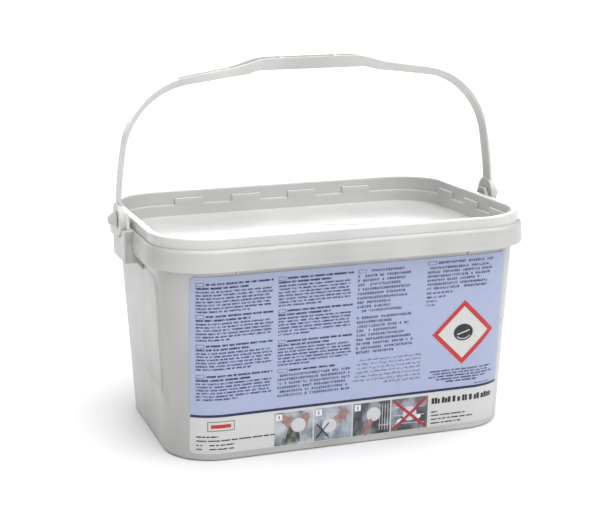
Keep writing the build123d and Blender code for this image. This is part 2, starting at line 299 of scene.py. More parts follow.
# Blocks of square characters as (left, right, top, bottom, pitch, raggedness), None for joined-up strokes
CHARACTER_BLOCKS = (
    (-54, -2, 58.6, 40.9, ROW_PITCH, 0.06), (11, 42, 126.9, 124, WIDE_ROW_PITCH, 0.25),
    (1.7, 44, 123.6, 96, WIDE_ROW_PITCH, 0.5), (1.7, 44, 94, 65.8, WIDE_ROW_PITCH, 0.4),
    (2, 50, 63, 42, ROW_PITCH, None), (60, 104, 128.2, 125, WIDE_ROW_PITCH, 0.1),
    (52.3, 102, 124.6, 107, ROW_PITCH, 0.5),
)
SHORT_LINES_AT = (52.3, 105.3)
SHORT_LINES = (19, 14, 8, 6)
SHORT_LINE_HEIGHT = 1.3
SHORT_LINE_WORD = 2.6
SYMBOL_LINES_TOP = 47.3
SYMBOL_LINES_PITCH = 2.1
SYMBOL_LINES = (24, 22, 25, 19, 12)
SYMBOL_LINES_HEIGHT = 1.15
SMALL_NOTE = (92, 106, 35.4, 0.8)
SMALL_NOTE_WORD = 3

# White foot of the label: the quantity line, headings with their words' length and gap, small lines,
# the rule and the badge
FOOT_HEIGHT = 0.95
HEADING_HEIGHT = 1.0
QUANTITY_AT = (59.9, 22.9)
QUANTITY_WORDS = (3, 3, 1, 1, 2, 1, 2, 4)
QUANTITY_SPACE = 1.2
LETTER_WIDTHS = (1.6, 2.3)
LETTER_HEIGHTS = (3.5, 3.6, 4.4, 4.5)
LETTER_SPACE = 0.3
QUANTITY_HEADING = (59.9, 64.6, 16.8)
QUANTITY_HEADING_WORDS = (2.5, 0.5)
QUANTITY_NOTES = ((59.9, 85.9, 14.1), (59.9, 92.9, 11.2), (59.9, 83.9, 8.3))
ADDRESS_HEADING = (-108.6, -95, 17.9)
ADDRESS_HEADING_WORDS = (3.5, 0.6)
ADDRESS_LINES = ((-108.6, -55, 14.9, 5), (-108.6, -105, 11.7, 3), (-100.6, -84, 11.7, 4),
                 (-108.6, -105, 8.8, 3), (-100.6, -84, 8.8, 4))
FIELD_HALF = 112.2
RULE_LOW = 32.0
RULE_HIGH = 33.9
FIELD_LOW = 36.0
BADGE_BOX = (-102, 21.8, -83.5, 29)
BADGE_LINE = 0.7
BADGE_BAR = (-99.6, 24.0, -86, 26.6)

# Tablets
TABLET_RADIUS = 23.0
TABLET_HEIGHT = 24.0
TABLET_BEVEL = 1.6
TABLET_CORE = 0.5
TABLET_STEPS = 56
FACE_ROUND = 0.5
SIDE_ROUND = 0.7
TABLET_COLUMNS = 5
TABLET_PITCH = 46.8
TABLET_FLOOR = 4.4
LAYER_RISE = 24.4
FULL_LAYERS = 3


def node_material(name):
    """A new material with its nodes and links."""
    material = bpy.data.materials.new(name)
    material.use_nodes = True
    return material, material.node_tree.nodes, material.node_tree.links


def half_sizes(z, outward):
    """Half length, half width and corner radius of the outline at height z."""
    share = min(z, BAND_BOTTOM) / BAND_BOTTOM
    length = BASE_LENGTH / 2 + (RIM_LENGTH / 2 - WALL_INSET - BASE_LENGTH / 2) * share
    width = BASE_WIDTH / 2 + (RIM_WIDTH / 2 - WALL_INSET - BASE_WIDTH / 2) * share
    return length + outward, width + outward, RIM_CORNER - WALL_INSET + outward


def outline(z, outward):
    """Points of the rounded outline at height z, a given distance outside the wall's line."""
    length, width, corner = half_sizes(z, outward)
    straight = ((LONG_STEPS, 2 * (length - corner)), (SHORT_STEPS, 2 * (width - corner)))
    points = []
    for k, (sx, sy) in enumerate(((-1, -1), (1, -1), (1, 1), (-1, 1))):
        centre = Vector((sx * (length - corner), sy * (width - corner), z))
        for i in range(CORNER_STEPS + 1):
            angle = math.pi * (1 + k / 2) + math.pi / 2 * i / CORNER_STEPS
            points.append(centre + corner * Vector((math.cos(angle), math.sin(angle), 0)))
        steps, run = straight[k % 2]
        angle = math.pi * (3 + k) / 2
        along = Vector((-math.sin(angle), math.cos(angle), 0))
        last = points[-1]
        points += [last + along * run * i / steps for i in range(1, steps)]
    return points


def rounded(points, closed=False):
    """Points of a section with its corners rounded; a point is (across, up, radius)."""
    smooth = []
    last = len(points) - 1
    for k, (x, z, radius) in enumerate(points):
        here = Vector((x, z))
        if radius <= 0 or (not closed and k in (0, last)):
            smooth.append(here)
            continue
        before = Vector(points[k - 1][:2]) - here
        after = Vector(points[(k + 1) % len(points)][:2]) - here
        turn = before.angle(after)
        reach = min(radius / math.tan(turn / 2), before.length * EDGE_SHARE, after.length * EDGE_SHARE)
        start = here + before.normalized() * reach
        end = here + after.normalized() * reach
        for i in range(ROUND_STEPS + 1):
            t = i / ROUND_STEPS
            smooth.append(start * (1 - t) ** 2 + here * 2 * t * (1 - t) + end * t ** 2)
    return smooth


def loft(bm, rings, closed=False, ends=True):
    """Join rings of points by faces; the ends are closed unless the last ring meets the first."""
    rows = [[bm.verts.new(point) for point in ring] for ring in rings]
    pairs = list(zip(rows, rows[1:]))
    if closed:
        pairs.append((rows[-1], rows[0]))
    for low, high in pairs:
        for k in range(len(low)):
            following = (k + 1) % len(low)
            bm.faces.new((low[k], low[following], high[following], high[k]))
    if ends and not closed:
        bm.faces.new(rows[0])
        bm.faces.new(rows[-1])
    return rows


def cap(bm, ring):
    """Close a ring with smaller copies of itself and a face in the middle."""
    middle = sum((v.co for v in ring), Vector()) / len(ring)
    for row in range(1, CAP_ROWS):
        share = 1 - row / CAP_ROWS
        inner = [bm.verts.new(middle + (v.co - middle) * share) for v in ring]
        for k in range(len(ring)):
            following = (k + 1) % len(ring)
            bm.faces.new((ring[k], ring[following], inner[following], inner[k]))
        ring = inner
    bm.faces.new(ring)


def between(bm, points, low, high, bevel=0.0):
    """Solid between two images of a flat outline; low and high place a point of it in space."""
    ends = [[bm.verts.new(place(*point)) for point in points] for place in (low, high)]
    faces = [bm.faces.new(ends[0]), bm.faces.new(ends[1])]
    for k in range(len(points)):
        following = (k + 1) % len(points)
        faces.append(bm.faces.new((ends[0][k], ends[0][following], ends[1][following], ends[1][k])))
    bmesh.ops.recalc_face_normals(bm, faces=faces)
    if bevel > 0:
        edges = dict.fromkeys(edge for face in faces for edge in face.edges
                              if edge.calc_face_angle(0) > BEVEL_ANGLE)
        bmesh.ops.bevel(bm, geom=list(edges), offset=bevel, segments=3, profile=0.5,
                        affect="EDGES", clamp_overlap=True)


def prism(bm, points, axis, low, high, bevel=0.0):
    """Solid with a flat outline, stretched along an axis."""
    def at(distance):
        """How a point of the outline is placed at a distance along the axis."""
        return {"x": lambda a, b: (distance, a, b), "y": lambda a, b: (a, distance, b),
                "z": lambda a, b: (a, b, distance)}[axis]
    between(bm, points, at(low), at(high), bevel)


def box(bm, low, high, bevel=0.0):
    """Box between two corners."""
    corners = [(low[0], low[1]), (high[0], low[1]), (high[0], high[1]), (low[0], high[1])]
    prism(bm, corners, "z", low[2], high[2], bevel)


def turned(bm, profile, centre, axis, steps=TURN_STEPS, closed=False):
    """Solid of revolution; a point of the profile is (radius, distance along the axis)."""
    rings = []
    for radius, along in profile:
        ring = []
        for k in range(steps):
            angle = 2 * math.pi * k / steps
            a, b = radius * math.cos(angle), radius * math.sin(angle)
            ring.append(Vector(centre) + Vector({"x": (along, a, b), "z": (a, b, along)}[axis]))
        rings.append(ring)
    loft(bm, rings, closed=closed)


def mesh_object(name, bm, scale=MM, sharp=SOLID_SHARP):
    """A new object from a bmesh, smooth but for its sharp edges."""
    bmesh.ops.scale(bm, vec=(scale, scale, scale), verts=bm.verts)
    bmesh.ops.recalc_face_normals(bm, faces=bm.faces)
    mesh = bpy.data.meshes.new(name)
    bm.to_mesh(mesh)
    bm.free()
    mesh.shade_smooth()
    mesh.set_sharp_from_angle(angle=math.radians(sharp))
    piece = bpy.data.objects.new(name, mesh)
    bpy.context.collection.objects.link(piece)
    weighted = piece.modifiers.new("even_shading", "WEIGHTED_NORMAL")
    weighted.keep_sharp = True
    return piece


# Pail
def wall_at_side(y, z):
    """How far out the short side's wall is at y and z, round its corners too."""
    length, width, corner = half_sizes(z, 0)
    past = max(abs(y) - (width - corner), 0)
    return length - corner + math.sqrt(corner ** 2 - past ** 2)


def panel_rise(z):
    """How far the panel's face stands out of the wall at height z."""
    return PANEL_RISE * (z - PANEL_FLUSH) / (PANEL_TOP - PANEL_FLUSH)


def side_panel(bm, side):
    """Flat panel with sloped edges, proud at the top and flush where it fades out."""
    rings = [[(side * (wall_at_side(y, z) - depth), y, z) for y, z in PANEL_FOOT] for depth in PANEL_DEPTHS]
    rings.append([(side * (half_sizes(z, 0)[0] + panel_rise(z)), y, z) for y, z in PANEL_FACE])
    loft(bm, rings)


def collar_rib(bm, x, side):
    """Rib between the long wall and the collar."""
    prism(bm, [(side * y, z) for y, z in RIB_SECTION], "x", x - RIB_HALF, x + RIB_HALF, RIB_BEVEL)


def seat_outline(half, low, high):
    """Front view of a block with the round seat cut into its top."""
    start = math.asin((PIVOT_Z - high) / SEAT_RADIUS)
    arc = []
    for i in range(SEAT_STEPS + 1):
        angle = start + (math.pi - 2 * start) * i / SEAT_STEPS
        arc.append((SEAT_RADIUS * math.cos(angle), PIVOT_Z - SEAT_RADIUS * math.sin(angle)))
    return [(-half, low), (half, low), (half, high)] + arc + [(-half, high)]


def ear(bm, side):
    """Hollow block on the collar with the seat, the lug, the pin and its cone head."""
    def prism_along_x(points, reach, bevel=0.0):
        """Solid between two distances from the pail's middle."""
        prism(bm, points, "x", side * reach[0], side * reach[1], bevel)

    prism_along_x(seat_outline(EAR_HALF, EAR_LOW, EAR_TOP), EAR_FRONT, EAR_BEVEL)
    prism_along_x(seat_outline(EAR_HALF - EAR_INSET, EAR_ROOT_LOW, EAR_TOP - EAR_GAP), EAR_FILL)
    near, far = sorted(side * x for x in EAR_ROOT)
    half = EAR_HALF - EAR_INSET
    box(bm, (near, -half, EAR_ROOT_LOW), (far, half, EAR_TOP), ROOT_BEVEL)
    for low in (EAR_GAP - EAR_HALF, EAR_HALF - CHEEK_WIDTH - EAR_GAP):
        prism(bm, [(side * x, z) for x, z in EAR_CHEEK], "y", low, low + CHEEK_WIDTH, CHEEK_BEVEL)
    prism_along_x(LUG_FACE, LUG_REACH, LUG_BEVEL)
    turned(bm, [(PIN_RADIUS, side * x) for x in PIN_REACH], (0, 0, PIVOT_Z), "x")
    turned(bm, [(r, side * x) for r, x in rounded(PIN_HEAD)], (0, 0, PIVOT_Z), "x")


def pail_mesh():
    """Pail: shell on its foot ring, collar, panels, ribs and ears."""
    bm = bmesh.new()
    section = rounded(PAIL_SECTION)
    rows = loft(bm, [outline(z, outward) for outward, z in section], ends=False)
    cap(bm, rows[0])
    cap(bm, rows[-1])
    for side in (-1, 1):
        side_panel(bm, side)
        ear(bm, side)
        for x in RIB_PLACES:
            collar_rib(bm, x, side)
    return mesh_object("pail_moulding", bm)


# Lid
def lid_blocks(bm):
    """Blocks that stand in a row on the ledge inside the lid."""
    for side in (-1, 1):
        near, far = sorted(side * y for y in LONG_BLOCKS)
        for k in range(4):
            x = (k - 1.5) * BLOCK_PITCH
            box(bm, (x - BLOCK_HALF, near, BLOCK_LOW), (x + BLOCK_HALF, far, BLOCK_HIGH), BLOCK_BEVEL)
        near, far = sorted(side * x for x in SHORT_BLOCKS)
        for k in range(3):
            y = (k - 1) * BLOCK_PITCH
            box(bm, (near, y - BLOCK_HALF, BLOCK_LOW), (far, y + BLOCK_HALF, BLOCK_HIGH), BLOCK_BEVEL)


def lens_mark(bm):
    """Thin lens-shaped mark on the lid's floor."""
    (x, y), (half_x, half_y) = LENS_AT, LENS_HALF
    turns = [2 * math.pi * k / LENS_STEPS for k in range(LENS_STEPS)]
    points = [(x + half_x * math.cos(t), y + half_y * math.sin(t) * abs(math.sin(t))) for t in turns]
    prism(bm, points, "z", *LENS_HEIGHTS, LENS_BEVEL)


def lid_mesh():
    """Lid: skirt, rounded rim, castellated ledge and the stepped floor."""
    bm = bmesh.new()
    rows = loft(bm, [outline(z, outward) for outward, z in rounded(LID_SECTION)], ends=False)
    cap(bm, rows[0])
    cap(bm, rows[-1])
    lid_blocks(bm)
    lens_mark(bm)
    return mesh_object("lid_moulding", bm)


# Bail
def filleted(shares, radii):
    """Points along one edge of half the bail: straight runs joined by arcs."""
    corners = [Vector((HALF_SPAN * x, PIVOT_Z + BAIL_RISE * z)) for x, z in shares]
    points = [corners[0]]
    for before, here, after, radius in zip(corners, corners[1:], corners[2:], radii):
        back = (before - here).normalized()
        ahead = (after - here).normalized()
        half_turn = back.angle(ahead) / 2
        centre = here + (back + ahead).normalized() * radius / math.sin(half_turn)
        reach = radius / math.tan(half_turn)
        start = here + back * reach - centre
        end = here + ahead * reach - centre
        points += [centre + start.slerp(end, i / ARC_STEPS) * radius for i in range(ARC_STEPS + 1)]
    return points + [corners[-1]]


def resample(points, count):
    """The same path with points at even distances."""
    lengths = [0.0]
    for a, b in zip(points, points[1:]):
        lengths.append(lengths[-1] + (b - a).length)
    even = []
    k = 0
    for i in range(count + 1):
        distance = lengths[-1] * i / count
        while k < len(points) - 2 and lengths[k + 1] < distance:
            k += 1
        share = (distance - lengths[k]) / max(lengths[k + 1] - lengths[k], 1e-6)
        even.append(points[k].lerp(points[k + 1], min(share, 1)))
    return even


def bail_half_width(x):
    """Half width of the bail seen from above, widest at the grip."""
    share = min(max((GRIP_END - abs(x)) / GRIP_FADE, 0), 1)
    share = share * share * (3 - 2 * share)
    return STRAP_HALF_WIDTH + GRIP_EXTRA * share


def bail_ring(top, under, channelled):
    """Section of the bail between its outer and its inner edge, open upwards along the channel."""
    half = bail_half_width((top.x + under.x) / 2)
    depth = (top - under).length
    section = [(half, depth, TOP_ROUND), (half, 0, UNDER_ROUND), (-half, 0, UNDER_ROUND),
               (-half, depth, TOP_ROUND)]
    if channelled:
        inside = half - CHANNEL_WALL
        section += [(-inside, depth, LIP_ROUND), (-inside, CHANNEL_FLOOR, FLOOR_ROUND),
                    (inside, CHANNEL_FLOOR, FLOOR_ROUND), (inside, depth, LIP_ROUND)]
    upward = (top - under).normalized()
    ring = []
    for across, up in rounded(section, closed=True):
        point = under + upward * up
        ring.append((point.x, across, point.y))
    return ring


def bail_stations():
    """Pairs of points on the outer and the inner edge, from one eye to the other."""
    pairs = list(zip(resample(filleted(OUTER_EDGE, OUTER_RADII), BAIL_STEPS),
                     resample(filleted(INNER_EDGE, INNER_RADII), BAIL_STEPS)))
    mirrored = [(Vector((-a.x, a.y)), Vector((-b.x, b.y))) for a, b in pairs]
    return pairs + mirrored[-2::-1]


def bail_runs(stations):
    """Stations of the left strap, the channelled middle and the right strap; runs share their ends."""
    runs = [[stations[0]]]
    for pair in stations[1:]:
        runs[-1].append(pair)
        inside = abs(pair[0].x) < CHANNEL_REACH
        began_inside = abs(runs[-1][0][0].x) < CHANNEL_REACH
        if inside != began_inside and len(runs) < 3:
            runs.append([pair])
    return runs


def bail_mesh():
    """Bail: strap legs, arms and grip with a channel and webs, and an eye at each end."""
    bm = bmesh.new()
    stations = [pair for pair in bail_stations() if pair[0].y > STRAP_START]
    for run in bail_runs(stations):
        channelled = abs(run[len(run) // 2][0].x) < CHANNEL_REACH
        loft(bm, [bail_ring(top, under, channelled) for top, under in run])
    for x in [side * web for web in BAIL_WEBS for side in (-1, 1)]:
        top, under = min(stations, key=lambda pair: abs(pair[0].x - x))
        half = bail_half_width(x) - CHANNEL_WALL + WEB_ROOT
        low, high = under.y + 1, top.y - WEB_DROP
        box(bm, (x - WEB_HALF, -half, low), (x + WEB_HALF, half, high), WEB_BEVEL)
    bore = PIN_RADIUS + EYE_PLAY
    near, far = EYE_REACH
    eye = rounded([(bore, near, BORE_ROUND), (EYE_RADIUS, near, EYE_ROUND), (EYE_RADIUS, far, EYE_ROUND),
                   (bore, far, BORE_ROUND)], closed=True)
    for side in (-1, 1):
        turned(bm, [(r, side * x) for r, x in eye], (0, 0, PIVOT_Z), "x", closed=True)
    return mesh_object("bail_moulding", bm)


# Tablets
def tablet_mesh(level):
    """One layer of round pressed tablets with bevelled rims."""
    bm = bmesh.new()
    face = TABLET_RADIUS - TABLET_BEVEL
    shoulder = TABLET_HEIGHT - TABLET_BEVEL
    profile = rounded([(TABLET_CORE, 0, 0), (face, 0, FACE_ROUND), (TABLET_RADIUS, TABLET_BEVEL, SIDE_ROUND),
                       (TABLET_RADIUS, shoulder, SIDE_ROUND), (face, TABLET_HEIGHT, FACE_ROUND),
                       (TABLET_CORE, TABLET_HEIGHT, 0)])
    rows = 3 if level < FULL_LAYERS else 1
    for j in range(rows):
        for i in range(TABLET_COLUMNS):
            place = ((i - 2) * TABLET_PITCH, (j - 1) * TABLET_PITCH, TABLET_FLOOR + level * LAYER_RISE)
            turned(bm, profile, place, "z", steps=TABLET_STEPS)
    return mesh_object(f"tablets_{level + 1}", bm)


# Print on the label
def front_y(x, z, outward):
    """Y of the front wall at x and z, a given distance outside it."""
    length, width, corner = half_sizes(z, outward)
    past = abs(x) - (length - corner)
    if past <= 0:
        return -width
    return corner - width - math.sqrt(max(corner ** 2 - past ** 2, 0))


def print_shape(bm, points, face, thickness=INK):
    """Flat shape in x and z, printed on the front wall."""
    between(bm, points, lambda x, z: (x, front_y(x, z, face - INK_ROOT), z),
            lambda x, z: (x, front_y(x, z, face + thickness), z))


def print_bar(bm, left, low, right, high, face, thickness=INK):
    """Upright bar of print, split where the wall turns the corner."""
    bent = max(abs(left), abs(right)) > FLAT_REACH
    columns = max(1, math.ceil((right - left) / BEND_STEP)) if bent else 1
    for k in range(columns):
        a = left + (right - left) * k / columns
        b = left + (right - left) * (k + 1) / columns
        print_shape(bm, [(a, low), (b, low), (b, high), (a, high)], face, thickness)


def print_piece(name, bm, ink, replaced=()):
    """Finish a mesh of print as a piece in its own ink that rides on the pail."""
    finish_piece(mesh_object(name, bm, sharp=PRINT_SHARP), ink_material(ink), "pail", replaced)


def print_frame(bm, left, low, right, high, line, face):
    """Outline of a box of print."""
    print_bar(bm, left, low, right, low + line, face)
    print_bar(bm, left, high - line, right, high, face)
    print_bar(bm, left, low + line, left + line, high - line, face)
    print_bar(bm, right - line, low + line, right, high - line, face)


def words(bm, left, right, middle, height, face, dice, size=WORD_SIZE, gap=WORD_GAP):
    """One line of text, as bars the length of words."""
    x = left
    while x < right - LEAST_REST:
        word = min(dice.uniform(*WORD_SHARES) * size, right - x)
        print_bar(bm, x, middle - height / 2, x + word, middle + height / 2, face)
        x += word + gap


def paragraph(bm, left, right, top, bottom, dice):
    """Small lines of text on the blue, from the top down, the last one short."""
    z = top - SMALL_PITCH / 2
    while z > bottom:
        end = right if z - SMALL_PITCH > bottom else left + (right - left) * dice.uniform(*LAST_LINE)
        end -= dice.uniform(0, LINE_LOSS) * (right - left)
        words(bm, left, end, z, SMALL_HEIGHT, BLUE_FACE, dice)
        z -= SMALL_PITCH


def glyph_rows(bm, left, right, top, bottom, pitch, dice, ragged):
    """Lines of square characters, each one a small block, with a ragged right edge."""
    z = top - pitch / 2
    while z > bottom:
        end = right - dice.random() ** 2 * ragged * (right - left)
        x = left
        while x < end - 1:
            if dice.random() > GLYPH_BLANK:
                tall = dice.uniform(*GLYPH_HALVES) * pitch
                print_bar(bm, x, z - tall, x + pitch * dice.uniform(*GLYPH_WIDTHS), z + tall, BLUE_FACE)
            x += pitch * GLYPH_STEP
        z -= pitch


def bold_word(bm, x, low, letters, dice):
    """Bold word of plain blocks the size of letters; gives back where it ends."""
    for _ in range(letters):
        wide = dice.uniform(*LETTER_WIDTHS)
        tall = dice.choice(LETTER_HEIGHTS)
        print_bar(bm, x, low, x + wide, low + tall, WHITE_FACE)
        x += wide + LETTER_SPACE
    return x


def cursive_rows(bm, left, right, top, bottom, pitch, dice):
    """Lines of joined-up strokes that start at the right."""
    z = top - pitch / 2
    while z > bottom:
        x = right
        end = left if z - pitch > bottom else left + LAST_RUN * (right - left)
        while x > end + 2:
            run = dice.uniform(*RUN_LENGTHS)
            print_bar(bm, x - run, z - RUN_BELOW, x, z + RUN_ABOVE, BLUE_FACE)
            for k in range(int(run / STEM_PITCH)):
                tip = x - STEM_START - STEM_PITCH * k
                stem_top = z + dice.choice(STEM_TOPS)
                print_bar(bm, tip - STEM_WIDTH, z - RUN_ABOVE, tip, stem_top, BLUE_FACE, INK + INK_STEP)
            x -= run + RUN_GAP
        z -= pitch


def tagged(bm, bold, left, right, top, bottom, dice):
    """Paragraph with a small outlined tag and two bold lines at its head."""
    wide, tall = TAG_SIZE
    print_frame(bold, left, top - tall, left + wide, top, TAG_LINE, BLUE_FACE)
    start, drop = FIRST_LINE
    words(bold, left + start, right, top - drop, BOLD_HEIGHT, BLUE_FACE, dice, BOLD_WORD)
    share, drop = SECOND_LINE
    words(bold, left, left + (right - left) * share, top - drop, BOLD_HEIGHT, BLUE_FACE, dice, BOLD_WORD)
    paragraph(bm, left, right, top - SMALL_TEXT_DROP, bottom, dice)


def field_text(bm, bold, dice):
    """Text on the blue field: paragraphs, square characters, joined-up strokes and short lines."""
    for top, bottom in LEFT_PARAGRAPHS:
        tagged(bm, bold, *LEFT_COLUMN, top, bottom, dice)
    for top, bottom in MIDDLE_PARAGRAPHS:
        tagged(bm, bold, *MIDDLE_COLUMN, top, bottom, dice)
    for edges in TAG_BOXES:
        print_frame(bold, *edges, TAG_LINE, BLUE_FACE)
    words(bold, *MIDDLE_HEADING, BOLD_HEIGHT, BLUE_FACE, dice, BOLD_WORD)
    for left, right, top, bottom, pitch, ragged in CHARACTER_BLOCKS:
        if ragged is None:
            cursive_rows(bm, left, right, top, bottom, pitch, dice)
        else:
            glyph_rows(bm, left, right, top, bottom, pitch, dice, ragged)
    left, top = SHORT_LINES_AT
    for k, reach in enumerate(SHORT_LINES):
        words(bm, left, left + reach, top - ROW_PITCH * k, SHORT_LINE_HEIGHT, BLUE_FACE, dice,
              SHORT_LINE_WORD)
    middle = SYMBOL_AT[0]
    for k, half in enumerate(SYMBOL_LINES):
        lines = bold if k == len(SYMBOL_LINES) - 1 else bm
        z = SYMBOL_LINES_TOP - SYMBOL_LINES_PITCH * k
        words(lines, middle - half, middle + half, z, SYMBOL_LINES_HEIGHT, BLUE_FACE, dice)


def foot_text(dark, solid, dice):
    """Text on the white foot: the bold quantity, the notes under it and the address."""
    x, low = QUANTITY_AT
    for letters in QUANTITY_WORDS:
        x = bold_word(solid, x, low, letters, dice) + QUANTITY_SPACE
    words(solid, *QUANTITY_HEADING, HEADING_HEIGHT, WHITE_FACE, dice, *QUANTITY_HEADING_WORDS)
    for note in QUANTITY_NOTES:
        words(dark, *note, FOOT_HEIGHT, WHITE_FACE, dice)
    words(solid, *ADDRESS_HEADING, HEADING_HEIGHT, WHITE_FACE, dice, *ADDRESS_HEADING_WORDS)
    for left, right, z, size in ADDRESS_LINES:
        words(dark, left, right, z, FOOT_HEIGHT, WHITE_FACE, dice, size)


def label_text():
    """All the lines of text on the label, without a single letter."""
    dice = random.Random(TEXT_SEED)
    bm, bold, dark, solid = (bmesh.new() for _ in range(4))
    field_text(bm, bold, dice)
    foot_text(dark, solid, dice)
    words(bm, *SMALL_NOTE, BLUE_FACE, dice, SMALL_NOTE_WORD)
    print_piece("label_lines", bm, "small_print")
    print_piece("label_bold", bold, "bold_print")
    print_piece("label_dark", dark, "dark_print")
    print_piece("label_bold_line", solid, "solid_print")


def blob(bm, centre, radii, turn, face, thickness=INK, steps=24):
    """Printed ellipse, turned in its plane."""
    points = []
    for k in range(steps):
        angle = 2 * math.pi * k / steps
        a, b = radii[0] * math.cos(angle), radii[1] * math.sin(angle)
        points.append((centre[0] + a * math.cos(turn) - b * math.sin(turn),
                       centre[1] + a * math.sin(turn) + b * math.cos(turn)))
    print_shape(bm, points, face, thickness)


def stroke(bm, start, end, width, face, thickness=INK):
    """Printed straight line."""
    a, b = Vector(start), Vector(end)
    side = (b - a).normalized().orthogonal() * width / 2
    print_shape(bm, [tuple(a + side), tuple(b + side), tuple(b - side), tuple(a - side)], face, thickness)


def picture_corner(index):
    """Lowest left corner of a picture."""
    return PICTURE_LEFT + index * PICTURE_PITCH, PICTURE_LOW


def picture_stroke(bm, index, ends, width, thickness, step=0.0, rise=0.0):
    """Printed straight line in a picture, moved along by a step."""
    x, z = picture_corner(index)
    start, end = ((x + a + step, z + b + rise) for a, b in ends)
    stroke(bm, start, end, width, PICTURE_FACE, thickness)


def hand(bm, x, z, turn, size):
    """Simple hand: a palm, four fingers and a thumb."""
    blob(bm, (x, z), [size * share for share in PALM_RADII], turn, PICTURE_FACE, PALM_INK)
    for k, share in enumerate(FINGER_SHARES):
        spread = turn + (k - 1.5) * FINGER_SPREAD
        foot = Vector((x, z)) + Vector((math.cos(turn), math.sin(turn))) * size * FINGER_ROOT
        foot += Vector((-math.sin(turn), math.cos(turn))) * (k - 1.5) * size * FINGER_PITCH
        tip = foot + Vector((math.cos(spread), math.sin(spread))) * size * share
        radii = ((tip - foot).length / 2 + size * FINGER_OVERLAP, size * FINGER_HALF)
        blob(bm, (foot + tip) / 2, radii, spread, PICTURE_FACE, FINGER_INK + INK_STEP * k)
    thumb = turn + THUMB_TURN
    place = Vector((x, z)) + Vector((math.cos(thumb), math.sin(thumb))) * size * THUMB_AT
    blob(bm, place, [size * share for share in THUMB_RADII], thumb - THUMB_LEAN, PICTURE_FACE, THUMB_INK)


def pouch_picture(hands, lights, pouches):
    """First picture: two hands tear a pouch open."""
    x, z = picture_corner(0)
    print_shape(pouches, [(x + a, z + b) for a, b in POUCH], PICTURE_FACE, THIN_INK)
    picture_stroke(lights, 0, POUCH_EDGE, POUCH_EDGE_WIDTH, POUCH_EDGE_INK)
    for a, b, turn, size in POUCH_HANDS:
        hand(hands, x + a, z + b, turn, size)


def basket_picture(hands, darks):
    """Second picture: a wire basket, crossed out, and a hand."""
    for k in range(BASKET_WIRES):
        picture_stroke(darks, 1, BASKET_WIRE, WIRE_WIDTH, THIN_INK, step=BASKET_PITCH * k)
    for ends, thickness in zip(CROSS_STROKES, (TOP_INK, TOP_INK + 2 * INK_STEP)):
        picture_stroke(darks, 1, ends, CROSS_WIDTH, thickness)
    x, z = picture_corner(1)
    a, b, turn, size = SECOND_HAND
    hand(hands, x + a, z + b, turn, size)


def rack_pictures(hands, lights):
    """Third and fourth picture: a finger and a rack, and shelves with tablets on them."""
    for k in range(RACK_BARS):
        picture_stroke(lights, 2, RACK_BAR, RACK_BAR_WIDTH, THIN_INK, step=RACK_PITCH * k)
    picture_stroke(lights, 2, RACK_RAIL, RAIL_WIDTH, INK)
    x, z = picture_corner(2)
    blob(hands, (x + FINGER_AT[0], z + FINGER_AT[1]), FINGER_RADII, FINGER_TURN, PICTURE_FACE, TOP_INK)
    for k in range(SHELF_BARS):
        picture_stroke(lights, 3, SHELF_BAR, RAIL_WIDTH, THIN_INK, rise=SHELF_PITCH * k)
    x, z = picture_corner(3)
    for a, b in SHELF_DISCS:
        blob(lights, (x + a, z + b), SHELF_DISC_RADII, SHELF_DISC_TURN, PICTURE_FACE, SHELF_DISC_INK)


def label_pictures():
    """What the four small pictures show, and the tags of the first three."""
    hands, lights, darks, pouches = (bmesh.new() for _ in range(4))
    pouch_picture(hands, lights, pouches)
    basket_picture(hands, darks)
    rack_pictures(hands, lights)
    left, low, right, high = NUMBER_BOX
    for k in range(3):
        x, z = picture_corner(k)
        corners = [(left, low), (right, low), (right, high), (left, high)]
        print_shape(lights, [(x + a, z + b) for a, b in corners], PICTURE_FACE, NUMBER_INK)
        a, b, c, d = NUMBER_BAR
        print_bar(darks, x + a, z + b, x + c, z + d, PICTURE_FACE, TOP_INK)
    print_piece("picture_hands", hands, "skin_ink")
    print_piece("picture_lights", lights, "pale_ink")
    print_piece("picture_darks", darks, "black_ink")
    print_piece("picture_pouch", pouches, "pouch_ink")


def picture_discs():
    """Round tablets in the pictures."""
    bm = bmesh.new()
    for k, (share_x, share_z) in enumerate(DISC_SHARES):
        x, z = picture_corner(k)
        centre = (x + PICTURE_WIDTH * (0.5 + share_x), z + PICTURE_HEIGHT * (0.5 + share_z))
        blob(bm, centre, (DISC_RADIUS, DISC_RADIUS), 0, PICTURE_FACE, THICK_INK, steps=DISC_STEPS)
    print_piece("picture_rounds", bm, "tablet_ink", ["picture_tablets"])


def rule_and_foot():
    """Dark rule under the blue field, and the blue that closes the gap above it."""
    rule = bmesh.new()
    print_bar(rule, -FIELD_HALF, RULE_LOW, FIELD_HALF, RULE_HIGH, WHITE_FACE, THICK_INK)
    print_piece("rule_line", rule, "rule_ink")
    foot = bmesh.new()
    print_bar(foot, -FIELD_HALF, RULE_HIGH, FIELD_HALF, FIELD_LOW, WHITE_FACE, THICK_INK - INK_STEP)
    print_piece("field_foot", foot, "field_ink")


